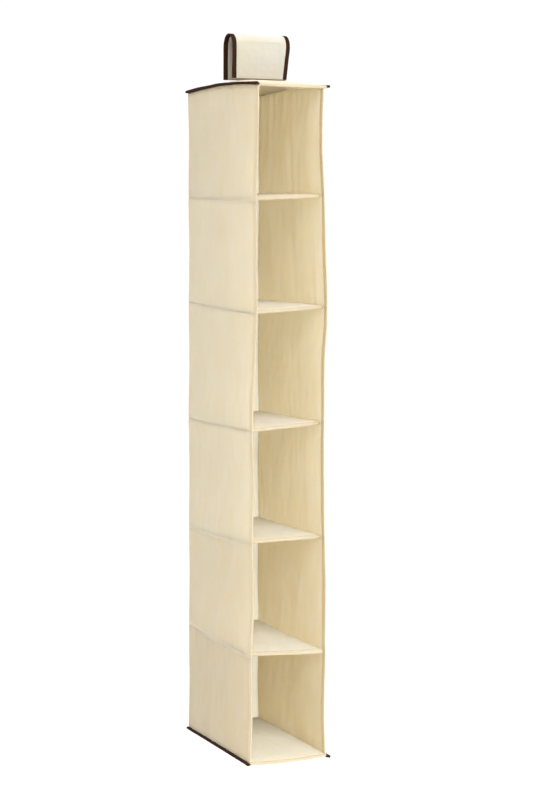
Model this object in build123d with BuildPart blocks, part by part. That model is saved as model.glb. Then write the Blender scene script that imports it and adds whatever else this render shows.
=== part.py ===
from build123d import *
import os

os.makedirs("parts", exist_ok=True)

# Hanging shoe organizer: a tall sleeve of cotton cloth on stiff boards, six open
# compartments one above the other, hung from a closet rod by a wide strap that
# closes with a hook-and-loop flap.
# Row frame: origin on the closet-rod axis, +Z up, +X along the rod, front at -Y. mm.

# ---------------------------------------------------------------- dimensions
body_w = 165.0            # outside width of the cloth tower, along X
body_d = 305.0            # outside depth, along Y
pitch = 224.0             # height of one compartment, shelf middle to shelf middle
n_comp = 6                # compartments
corner_z = -86.0          # top corners of the tower
apex_z = -71.0            # middle of the bowed top panel
base_z = corner_z - n_comp * pitch          # underside of the floor panel

wall_t = 1.2              # side and back wall cloth
hem_w = 12.0              # folded front hem of the side walls
hem_t = 2.4               # two more layers inside the hem
skin_t = 1.2              # cloth skin over a board
board_t = 3.0             # stiffening board
sleeve_t = board_t + 2 * skin_t             # a covered shelf
shelf_setback = 21.0      # shelf front edge behind the wall's front edge

bind_out = 8.5            # binding flange beyond the wall
bind_t = 3.6              # thickness of the folded binding
bind_in = 0.9             # binding's face below the panel's own face

rod_r = 18.0              # inside of the strap's crown
strap_t = 2.5             # two plies of cloth
strap_w = 118.0           # strap cloth between its edge bindings
strap_edge = 5.0          # width of an edge binding
strap_edge_t = 3.1        # thickness of an edge binding
seam_gap = 0.1            # walls end this far under the bowed panel
tab_in = 12.4             # inner face of the fixed tab, from the rod axis
tab_t = 1.6               # fixed tab
hook_t = 2.0              # loop strip, hook strip: one layer each
hook_w = 100.0
hook_low, hook_high = -64.0, -34.0
tab_high = -30.0
flap_low = -68.0          # free end of the flap

half_w = body_w / 2
half_d = body_d / 2
inner_w = body_w - 2 * wall_t
strap_total = strap_w + 2 * strap_edge

# bow of the top panel: one circle about an axis along X
bow = apex_z - corner_z
bow_r = (half_d ** 2 + bow ** 2) / (2 * bow)
bow_z = apex_z - bow_r


def shelf_mid(k):
    """middle height of the k-th shelf below the top; k = n_comp is the floor"""
    return corner_z - k * pitch


# ---------------------------------------------------------------- top panel
# three layers, each an arc slab seen from +X and drawn out along X
def arc_profile(r_out, r_in, depth):
    """ring of the bow cut to the panel's depth, for use inside a sketch on YZ"""
    with Locations((0, bow_z)):
        Circle(r_out)
        Circle(r_in, mode=Mode.SUBTRACT)
    with Locations((0, bow_z + r_out - 60)):
        Rectangle(depth, 120 + 2 * strap_t, mode=Mode.INTERSECT)


with BuildPart() as top_upper_cloth:
    with BuildSketch(Plane.YZ.offset(-half_w)):
        arc_profile(bow_r, bow_r - skin_t, body_d)
    extrude(amount=body_w)
top_upper_cloth.part.label = "top_upper_cloth"
export_step(top_upper_cloth.part, "parts/top_upper_cloth.step")

with BuildPart() as top_board:
    with BuildSketch(Plane.YZ.offset(-half_w + 4)):
        arc_profile(bow_r - skin_t, bow_r - skin_t - board_t, body_d - 8)
    extrude(amount=body_w - 8)
top_board.part.label = "top_board"
export_step(top_board.part, "parts/top_board.step")

with BuildPart() as top_lower_cloth:
    with BuildSketch(Plane.YZ.offset(-half_w)):
        arc_profile(bow_r - skin_t - board_t, bow_r - sleeve_t, body_d)
    extrude(amount=body_w)
top_lower_cloth.part.label = "top_lower_cloth"
export_step(top_lower_cloth.part, "parts/top_lower_cloth.step")

# brown binding folded over the seam between the top panel and each side wall
with BuildPart() as top_binding_left:
    with BuildSketch(Plane.YZ.offset(-half_w - bind_out)):
        arc_profile(bow_r - bind_in, bow_r - bind_in - bind_t, body_d + 4)
    extrude(amount=bind_out)
top_binding_left.part.label = "top_binding_left"
export_step(top_binding_left.part, "parts/top_binding_left.step")

with BuildPart() as top_binding_right:
    with BuildSketch(Plane.YZ.offset(half_w)):
        arc_profile(bow_r - bind_in, bow_r - bind_in - bind_t, body_d + 4)
    extrude(amount=bind_out)
top_binding_right.part.label = "top_binding_right"
export_step(top_binding_right.part, "parts/top_binding_right.step")


# ---------------------------------------------------------------- shelves
# a cloth sleeve, open at its two ends, round a loose stiff board
shelf_mid_y = (shelf_setback - wall_t) / 2
shelf_d = body_d - shelf_setback - wall_t


def build_sleeve(z_mid):
    with BuildPart() as sleeve:
        with BuildSketch(Plane.YZ.offset(-inner_w / 2)):
            with Locations((shelf_mid_y, z_mid)):
                RectangleRounded(shelf_d, sleeve_t, 1.0)
                Rectangle(shelf_d - 2 * skin_t, board_t, mode=Mode.SUBTRACT)
        extrude(amount=inner_w)
    return sleeve


def build_board(z_mid):
    with BuildPart() as board:
        with BuildSketch(Plane.XY.offset(z_mid - board_t / 2)):
            with Locations((0, shelf_mid_y)):
                Rectangle(inner_w - 2, shelf_d - 2 * skin_t)
        extrude(amount=board_t)
    return board


for k in range(1, n_comp):
    shelf_sleeve = build_sleeve(shelf_mid(k))
    shelf_sleeve.part.label = f"shelf_{k}_sleeve"
    export_step(shelf_sleeve.part, f"parts/shelf_{k}_sleeve.step")
    shelf_board = build_board(shelf_mid(k))
    shelf_board.part.label = f"shelf_{k}_board"
    export_step(shelf_board.part, f"parts/shelf_{k}_board.step")

# ---------------------------------------------------------------- floor panel
with BuildPart() as floor_upper_cloth:
    with BuildSketch(Plane.XY.offset(base_z + skin_t + board_t)):
        with Locations((0, -wall_t / 2)):
            Rectangle(body_w - 2 * hem_t, body_d - wall_t)
    extrude(amount=skin_t)
floor_upper_cloth.part.label = "floor_upper_cloth"
export_step(floor_upper_cloth.part, "parts/floor_upper_cloth.step")

with BuildPart() as floor_board:
    with BuildSketch(Plane.XY.offset(base_z + skin_t)):
        Rectangle(body_w - 8, body_d - 8)
    extrude(amount=board_t)
floor_board.part.label = "floor_board"
export_step(floor_board.part, "parts/floor_board.step")

with BuildPart() as floor_lower_cloth:
    with BuildSketch(Plane.XY.offset(base_z)):
        Rectangle(body_w, body_d)
    extrude(amount=skin_t)
floor_lower_cloth.part.label = "floor_lower_cloth"
export_step(floor_lower_cloth.part, "parts/floor_lower_cloth.step")

with BuildPart() as floor_binding_left:
    with BuildSketch(Plane.XY.offset(base_z + bind_in)):
        with Locations((-half_w - bind_out / 2, 0)):
            Rectangle(bind_out, body_d + 4)
    extrude(amount=bind_t)
floor_binding_left.part.label = "floor_binding_left"
export_step(floor_binding_left.part, "parts/floor_binding_left.step")

with BuildPart() as floor_binding_right:
    with BuildSketch(Plane.XY.offset(base_z + bind_in)):
        with Locations((half_w + bind_out / 2, 0)):
            Rectangle(bind_out, body_d + 4)
    extrude(amount=bind_t)
floor_binding_right.part.label = "floor_binding_right"
export_step(floor_binding_right.part, "parts/floor_binding_right.step")


# ---------------------------------------------------------------- walls
# each compartment has its own left, right and back cloth, seam to seam
def wall_span(k):
    """low and high z of compartment k's cloth, k = 1 at the top"""
    low = shelf_mid(k) if k < n_comp else base_z + skin_t
    high = shelf_mid(k - 1) if k > 1 else apex_z
    return low, high


# the region above the underside of the bowed panel, taken off the top cloths
with BuildSketch(Plane.YZ.offset(-half_w - 1)) as above_panel:
    with Locations((0, bow_z)):
        Circle(bow_r + 40)
        Circle(bow_r - sleeve_t - seam_gap, mode=Mode.SUBTRACT)
    with Locations((0, apex_z)):
        Rectangle(body_d + 20, 120, mode=Mode.INTERSECT)


def build_side(k, side):
    low, high = wall_span(k)
    with BuildPart() as wall:
        with BuildSketch(Plane.XY.offset(low)):
            with Locations((side * (half_w - wall_t / 2), 0)):
                Rectangle(wall_t, body_d)
            with Locations((side * (half_w - hem_t / 2), -half_d + hem_w / 2)):
                Rectangle(hem_t, hem_w)
        extrude(amount=high - low)
        if k == 1:
            extrude(above_panel.sketch, amount=body_w + 2, mode=Mode.SUBTRACT)
    return wall


def build_back(k):
    low, high = wall_span(k)
    with BuildPart() as wall:
        with BuildSketch(Plane.XY.offset(low)):
            with Locations((0, half_d - wall_t / 2)):
                Rectangle(inner_w, wall_t)
        extrude(amount=high - low)
        if k == 1:
            extrude(above_panel.sketch, amount=body_w + 2, mode=Mode.SUBTRACT)
    return wall


for k in range(1, n_comp + 1):
    wall_left = build_side(k, -1)
    wall_left.part.label = f"wall_{k}_left"
    export_step(wall_left.part, f"parts/wall_{k}_left.step")
    wall_right = build_side(k, 1)
    wall_right.part.label = f"wall_{k}_right"
    export_step(wall_right.part, f"parts/wall_{k}_right.step")
    wall_back = build_back(k)
    wall_back.part.label = f"wall_{k}_back"
    export_step(wall_back.part, f"parts/wall_{k}_back.step")

# ---------------------------------------------------------------- hanging strap
# rear leg and the rear quarter of the crown; then the flap, which is the front
# quarter of the crown and the front leg, free to be peeled off the tab


def quarter_loop(side, r_in, r_out, low):
    """a leg on one side of the rod and a quarter of the crown, seen from +X"""
    with Locations((0, 0)):
        Circle(r_out)
        Circle(r_in, mode=Mode.SUBTRACT)
    with Locations((side * r_out / 2, r_out / 2)):
        Rectangle(r_out, r_out, mode=Mode.INTERSECT)
    with Locations((side * (r_in + r_out) / 2, low / 2)):
        Rectangle(r_out - r_in, -low)


# the strap's sewn ends follow the bowed panel
with BuildSketch(Plane.YZ.offset(-half_w)) as below_panel_face:
    with Locations((0, bow_z)):
        Circle(bow_r)
    with Locations((0, apex_z)):
        Rectangle(80, 20, mode=Mode.INTERSECT)


with BuildPart() as strap_back:
    with BuildSketch(Plane.YZ.offset(-strap_w / 2)):
        quarter_loop(1, rod_r, rod_r + strap_t, apex_z - 1)
    extrude(amount=strap_w)
    extrude(below_panel_face.sketch, amount=body_w, mode=Mode.SUBTRACT)
strap_back.part.label = "strap_back"
export_step(strap_back.part, "parts/strap_back.step")

with BuildPart() as strap_back_edge_left:
    with BuildSketch(Plane.YZ.offset(-strap_w / 2 - strap_edge)):
        quarter_loop(1, rod_r, rod_r + strap_edge_t, apex_z - 1)
    extrude(amount=strap_edge)
    extrude(below_panel_face.sketch, amount=body_w, mode=Mode.SUBTRACT)
strap_back_edge_left.part.label = "strap_back_edge_left"
export_step(strap_back_edge_left.part, "parts/strap_back_edge_left.step")

with BuildPart() as strap_back_edge_right:
    with BuildSketch(Plane.YZ.offset(strap_w / 2)):
        quarter_loop(1, rod_r, rod_r + strap_edge_t, apex_z - 1)
    extrude(amount=strap_edge)
    extrude(below_panel_face.sketch, amount=body_w, mode=Mode.SUBTRACT)
strap_back_edge_right.part.label = "strap_back_edge_right"
export_step(strap_back_edge_right.part, "parts/strap_back_edge_right.step")

with BuildPart() as strap_flap:
    with BuildSketch(Plane.YZ.offset(-strap_w / 2)):
        quarter_loop(-1, rod_r, rod_r + strap_t, flap_low)
    extrude(amount=strap_w)
strap_flap.part.label = "strap_flap"
export_step(strap_flap.part, "parts/strap_flap.step")

with BuildPart() as strap_flap_edge_left:
    with BuildSketch(Plane.YZ.offset(-strap_w / 2 - strap_edge)):
        quarter_loop(-1, rod_r, rod_r + strap_edge_t, flap_low)
    extrude(amount=strap_edge)
strap_flap_edge_left.part.label = "strap_flap_edge_left"
export_step(strap_flap_edge_left.part, "parts/strap_flap_edge_left.step")

with BuildPart() as strap_flap_edge_right:
    with BuildSketch(Plane.YZ.offset(strap_w / 2)):
        quarter_loop(-1, rod_r, rod_r + strap_edge_t, flap_low)
    extrude(amount=strap_edge)
strap_flap_edge_right.part.label = "strap_flap_edge_right"
export_step(strap_flap_edge_right.part, "parts/strap_flap_edge_right.step")

# hook strip sewn inside the flap
with BuildPart() as hook_strip:
    with BuildSketch(Plane.XY.offset(hook_low)):
        with Locations((0, -rod_r + hook_t / 2)):
            Rectangle(hook_w, hook_t)
    extrude(amount=hook_high - hook_low)
hook_strip.part.label = "hook_strip"
export_step(hook_strip.part, "parts/hook_strip.step")

# loop strip sewn outside the fixed tab
with BuildPart() as loop_strip:
    with BuildSketch(Plane.XY.offset(hook_low)):
        with Locations((0, -tab_in - tab_t - hook_t / 2 + 0.1)):
            Rectangle(hook_w, hook_t - 0.2)
    extrude(amount=hook_high - hook_low)
loop_strip.part.label = "loop_strip"
export_step(loop_strip.part, "parts/loop_strip.step")

# fixed tab that stands on the panel behind the flap
with BuildPart() as strap_tab:
    with BuildSketch(Plane.XY.offset(apex_z - 1)):
        with Locations((0, -tab_in - tab_t / 2)):
            Rectangle(strap_w, tab_t)
    extrude(amount=tab_high - apex_z + 1)
    extrude(below_panel_face.sketch, amount=body_w, mode=Mode.SUBTRACT)
strap_tab.part.label = "strap_tab"
export_step(strap_tab.part, "parts/strap_tab.step")
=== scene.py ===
import math
import bpy
import numpy as np
from mathutils import Matrix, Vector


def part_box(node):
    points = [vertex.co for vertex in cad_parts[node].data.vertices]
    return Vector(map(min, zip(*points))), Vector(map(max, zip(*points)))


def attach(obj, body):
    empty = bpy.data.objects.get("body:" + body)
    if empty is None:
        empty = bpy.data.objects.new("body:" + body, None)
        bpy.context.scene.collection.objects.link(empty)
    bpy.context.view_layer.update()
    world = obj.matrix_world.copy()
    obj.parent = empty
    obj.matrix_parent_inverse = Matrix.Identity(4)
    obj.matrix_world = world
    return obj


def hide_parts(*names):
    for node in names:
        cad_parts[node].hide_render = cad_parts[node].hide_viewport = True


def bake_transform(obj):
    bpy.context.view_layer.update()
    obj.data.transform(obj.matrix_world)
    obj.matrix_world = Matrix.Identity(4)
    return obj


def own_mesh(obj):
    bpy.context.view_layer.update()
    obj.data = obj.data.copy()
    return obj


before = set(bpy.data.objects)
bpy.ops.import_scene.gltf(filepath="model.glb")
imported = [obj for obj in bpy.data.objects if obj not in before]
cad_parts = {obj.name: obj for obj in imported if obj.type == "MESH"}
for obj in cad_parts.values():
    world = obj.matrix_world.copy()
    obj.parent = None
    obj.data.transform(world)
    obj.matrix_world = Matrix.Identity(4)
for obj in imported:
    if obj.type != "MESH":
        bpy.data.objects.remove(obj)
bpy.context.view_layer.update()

# ------------------------------------------------------------------ sizes (mm)
MM = 0.001


def node_box(name):
    lo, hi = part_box(name)
    return np.array(lo) * 1000, np.array(hi) * 1000


_lo, _hi = node_box("wall_3_left")
HALF_W = -_lo[0]
HALF_D = _hi[1]
PITCH = _hi[2] - _lo[2]
_lo, _hi = node_box("floor_lower_cloth")
BASE_Z = _lo[2]
TOP_Z = BASE_Z + 6 * PITCH
APEX_Z = node_box("top_upper_cloth")[1][2]
WALL_T = 1.1
PANEL_T = 6.4


def level(k):
    return TOP_Z - k * PITCH


# heights of each shelf's corners against its level: front-left, front-right, back-right, back-left, and the left seam's sag
TILT = {
    0: (0, 0, 0, 0, 0, 0),
    1: (-4, 10, 14, 8, -2, 2),
    2: (2, 14, 11, 13, -2, 1),
    3: (-4, 6, -1, -7, -1, -2),
    4: (-3, 0, -7, -13, -9, -3),
    5: (-10, -10, -7, 3, -5, -3),
    6: (0, 0, 0, 0, 0, 0),
}


# each shelf's own corners (front-left, front-right, back-right, back-left) and how far its front edge sits behind the hem at left and right
SHELF = {
    1: (2, 9, 12, 8, 20, 19),
    2: (4, 12.5, 13, 13, 20, 18),
    3: (-4, 5.5, 0, -7, 20, 18),
    4: (0, -1.5, -5, -9, 20, 19),
    5: (-4, -12.5, -6, 1, 20, 9),
}


def smooth_steps(levels, values, z):
    """a smooth curve through values at levels (levels falling), monotone cubic between them"""
    z = np.asarray(z, float)
    order = np.argsort(levels)
    xs, ys = np.array(levels, float)[order], np.array(values, float)[order]
    # monotone cubic slopes
    h = np.diff(xs)
    d = np.diff(ys) / h
    m = np.zeros_like(xs)
    for i in range(1, len(xs) - 1):
        m[i] = 0 if d[i - 1] * d[i] <= 0 else 2 * d[i - 1] * d[i] / (d[i - 1] + d[i])
    m[0], m[-1] = d[0], d[-1]
    i = np.clip(np.searchsorted(xs, z) - 1, 0, len(xs) - 2)
    t = np.clip((z - xs[i]) / h[i], 0, 1)
    return ((2 * t**3 - 3 * t**2 + 1) * ys[i] + (t**3 - 2 * t**2 + t) * h[i] * m[i]
            + (-2 * t**3 + 3 * t**2) * ys[i + 1] + (t**3 - t**2) * h[i] * m[i + 1])


_levels = []
for _k in range(6):
    _levels += [level(_k), level(_k) - PITCH / 2]
_levels.append(level(6))
# how far each upright edge of the cloth tower stands from the board's corner, along +X
FRONT_LEFT = (12.5, 10.5, 7.5, 8.0, 8.5, 4.5, 0.0, 3.0, 0.0, 3.0, -1.0, -0.5, -3.6)
FRONT_RIGHT = (-9.5, -11.5, -6.0, -2.0, 1.0, -4.0, -4.5, -3.5, -1.5, 1.5, 1.5, 0.0, 2.4)
BACK_LEFT = (-0.8, 1.2, 0.0, 1.8, 0.4, 1.6, -0.4, 1.4, 0.2, 1.5, 0.2, 1.0, -1.0)
BACK_RIGHT = (0.8, -1.2, 0.0, -1.6, -0.4, -1.4, 0.4, -1.4, -0.2, -1.2, 0.2, -1.0, 1.0)


def depth_share(y):
    return np.clip((np.asarray(y, float) + HALF_D) / (2 * HALF_D), 0, 1)


def side_x(side, y, z):
    """middle surface of a side wall without its bow and wrinkles"""
    s = depth_share(y)
    if side < 0:
        f, b = smooth_steps(_levels, FRONT_LEFT, z), smooth_steps(_levels, BACK_LEFT, z)
    else:
        f, b = smooth_steps(_levels, FRONT_RIGHT, z), smooth_steps(_levels, BACK_RIGHT, z)
    return side * (HALF_W - WALL_T / 2) + f * (1 - s) ** 1.15 + b * (1 - (1 - s) ** 1.15)


def seam_z(k, x, y):
    """middle height of panel k's edge at a point; panel 0 is the top's underside"""
    fl, fr, br, bl, sag_l, sag_r = TILT[k]
    s = depth_share(y)
    w = np.clip((np.asarray(x, float) + HALF_W) / (2 * HALF_W), 0, 1)
    left = fl * (1 - s) + bl * s + sag_l * 4 * s * (1 - s)
    right = fr * (1 - s) + br * s + sag_r * 4 * s * (1 - s)
    return level(k) + left * (1 - w) + right * w


def panel_x(side, y, kind):
    """edge of a panel's cloth, which the bindings are sewn to"""
    s = depth_share(y)
    nose = {("top", -1): 12.5, ("top", 1): -3.0, ("floor", -1): -3.6, ("floor", 1): 3.6}[kind, side]
    return side * (HALF_W - WALL_T / 2) + nose * (1 - s) ** 1.15


def dome(x, y):
    """upper face of the top panel: bowed between its front and back edges, highest under the strap"""
    x = np.asarray(x, float)
    w = np.clip(np.abs(x) / HALF_W, 0, 1.15)
    s = np.clip(np.abs(np.asarray(y, float)) / HALF_D, 0, 1.05)
    rise = 6.5 + (APEX_Z + 1.2 - TOP_Z - 6.5) * (1 - w**2.4)
    # the near left corner is held up a little
    lift = 2.6 * (1 - depth_share(y)) ** 2 * np.clip(-x / HALF_W, 0, 1)
    return TOP_Z + rise * (1 - s**1.7) + lift


def sag(x, y):
    """how far the floor panel hangs below its level, most at its front edge"""
    w = np.clip((np.asarray(x, float) + HALF_W) / (2 * HALF_W), 0, 1)
    f = (1 - depth_share(y)) ** 1.8
    return f * (1.2 + 3.0 * np.sin(math.pi * w) + 3.0 * w)


# ------------------------------------------------------------------ noise
def field(a, b, length, seed, count=14, stretch=(1.0, 1.0)):
    """smooth random field, about -1 to 1, over coordinates in mm"""
    rng = np.random.RandomState(seed)
    a, b = np.asarray(a, float), np.asarray(b, float)
    out = np.zeros(np.broadcast(a, b).shape)
    for _ in range(count):
        ang = rng.uniform(0, 2 * math.pi)
        wave = length * rng.uniform(0.75, 1.9)
        ph = rng.uniform(0, 2 * math.pi)
        out = out + np.cos(2 * math.pi * (a * math.cos(ang) / stretch[0] + b * math.sin(ang) / stretch[1]) / wave + ph)
    return out / math.sqrt(count) * 0.85


def ripple(a, length, seed, count=7):
    rng = np.random.RandomState(seed)
    a = np.asarray(a, float)
    out = np.zeros(a.shape)
    for _ in range(count):
        out = out + np.cos(2 * math.pi * a / (length * rng.uniform(0.7, 1.7)) + rng.uniform(0, 6.28))
    return out / math.sqrt(count) * 0.95


# ------------------------------------------------------------------ mesh building
class Build:
    def __init__(self):
        self.v, self.f, self.m, self.uv, self.n = [], [], [], [], 0

    def add(self, verts, faces, mat=0, uv=None):
        verts = np.asarray(verts, float).reshape(-1, 3)
        if uv is None:
            uv = np.stack([verts[:, 0] + verts[:, 1], verts[:, 2]], 1)
        self.v.append(verts)
        self.uv.append(np.asarray(uv, float).reshape(-1, 2))
        self.f += [tuple(int(i) + self.n for i in f) for f in faces]
        self.m += [mat] * len(faces)
        self.n += len(verts)

    def make(self, name, mats, smooth=True):
        me = bpy.data.meshes.new(name)
        v = np.concatenate(self.v) * MM
        me.from_pydata(v.tolist(), [], self.f)
        for mt in mats:
            me.materials.append(mt)
        me.polygons.foreach_set("material_index", self.m)
        me.polygons.foreach_set("use_smooth", [smooth] * len(self.f))
        layer = me.uv_layers.new(name="cloth")
        uv = np.concatenate(self.uv) * MM
        loops = np.zeros(len(me.loops), dtype=np.int32)
        me.loops.foreach_get("vertex_index", loops)
        layer.data.foreach_set("uv", uv[loops].astype(np.float32).ravel())
        me.update()
        me.validate()
        ob = bpy.data.objects.new(name, me)
        bpy.context.scene.collection.objects.link(ob)
        return ob


def grid_normals(p):
    du = np.gradient(p, axis=0)
    dv = np.gradient(p, axis=1)
    n = np.cross(du, dv)
    return n / np.maximum(np.linalg.norm(n, axis=2, keepdims=True), 1e-9)


def grid_faces(n, m, flip=False, close_u=False):
    out = []
    for i in range(n if close_u else n - 1):
        i2 = (i + 1) % n
        for j in range(m - 1):
            q = (i * m + j, i2 * m + j, i2 * m + j + 1, i * m + j + 1)
            out.append(q[::-1] if flip else q)
    return out


def shell(b, p, t, uv, mat=0):
    """closed sheet of thickness t about the middle surface p"""
    n, m = p.shape[:2]
    nn = grid_normals(p)
    t = np.broadcast_to(np.asarray(t, float), (n, m))[..., None]
    a, c = p + nn * t / 2, p - nn * t / 2
    k = n * m
    faces = grid_faces(n, m)
    faces += [tuple(i + k for i in f) for f in grid_faces(n, m, flip=True)]
    ring = [i * m for i in range(n)] + [(n - 1) * m + j for j in range(1, m)] + \
           [i * m + m - 1 for i in range(n - 2, -1, -1)] + [j for j in range(m - 2, 0, -1)]
    for i, r in enumerate(ring):
        r2 = ring[(i + 1) % len(ring)]
        faces.append((r2, r, r + k, r2 + k))
    b.add(np.concatenate([a.reshape(-1, 3), c.reshape(-1, 3)]), faces, mat,
          np.concatenate([uv.reshape(-1, 2), uv.reshape(-1, 2)]))
    return a, c, nn


def stitches(b, pts, nrm, mat, length=2.6, gap=1.2, width=0.5, sink=0.05):
    """a row of thread stitches along a line that lies on cloth"""
    pts, nrm = np.asarray(pts, float), np.asarray(nrm, float)
    seg = np.linalg.norm(np.diff(pts, axis=0), axis=1)
    s = np.concatenate([[0], np.cumsum(seg)])
    total = s[-1]
    if total < length * 2:
        return
    count = max(1, int(total // (length + gap)))
    step = total / count

    def at(x):
        return (np.array([np.interp(x, s, pts[:, c]) for c in range(3)]).T,
                np.array([np.interp(x, s, nrm[:, c]) for c in range(3)]).T)
    mid = (np.arange(count) + 0.5) * step
    prof = ((-0.5, 0.25), (-0.3, 0.85), (0.0, 1.0), (0.3, 0.85), (0.5, 0.25))
    sides = 6
    rings = []
    for u, r in prof:
        p, n = at(np.clip(mid + u * length, 0, total))
        p2, _ = at(np.clip(mid + u * length + 0.2, 0, total))
        p1, _ = at(np.clip(mid + u * length - 0.2, 0, total))
        t = p2 - p1
        t /= np.maximum(np.linalg.norm(t, axis=1, keepdims=True), 1e-9)
        n = n / np.maximum(np.linalg.norm(n, axis=1, keepdims=True), 1e-9)
        w = np.cross(n, t)
        dip = -0.22 * (abs(u) * 2) ** 3
        for q in range(sides):
            an = 2 * math.pi * q / sides
            rings.append(p + w * (math.cos(an) * width / 2 * r) + n * (math.sin(an) * width * 0.42 * r - sink + dip))
    arr = np.stack(rings, 1)  # count, rings*sides, 3
    faces = []
    per = len(prof) * sides
    base = []
    for a in range(len(prof) - 1):
        for q in range(sides):
            q2 = (q + 1) % sides
            base.append((a * sides + q, a * sides + q2, (a + 1) * sides + q2, (a + 1) * sides + q))
    base.append(tuple(range(sides - 1, -1, -1)))
    base.append(tuple((len(prof) - 1) * sides + q for q in range(sides)))
    for i in range(count):
        faces += [tuple(x + i * per for x in f) for f in base]
    b.add(arr.reshape(-1, 3), faces, mat)


# ------------------------------------------------------------------ materials
def links(nt):
    def node(kind, **kw):
        n = nt.nodes.new(kind)
        for k, val in kw.items():
            if k == "inputs":
                for name, x in val.items():
                    n.inputs[name].default_value = x
            else:
                setattr(n, k, val)
        return n
    return node


def math_node(node, nt, op, a, b=None):
    n = node("ShaderNodeMath", operation=op)
    for i, x in enumerate((a, b)):
        if x is None:
            continue
        if isinstance(x, (int, float)):
            n.inputs[i].default_value = x
        else:
            nt.links.new(x, n.inputs[i])
    return n.outputs[0]


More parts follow.
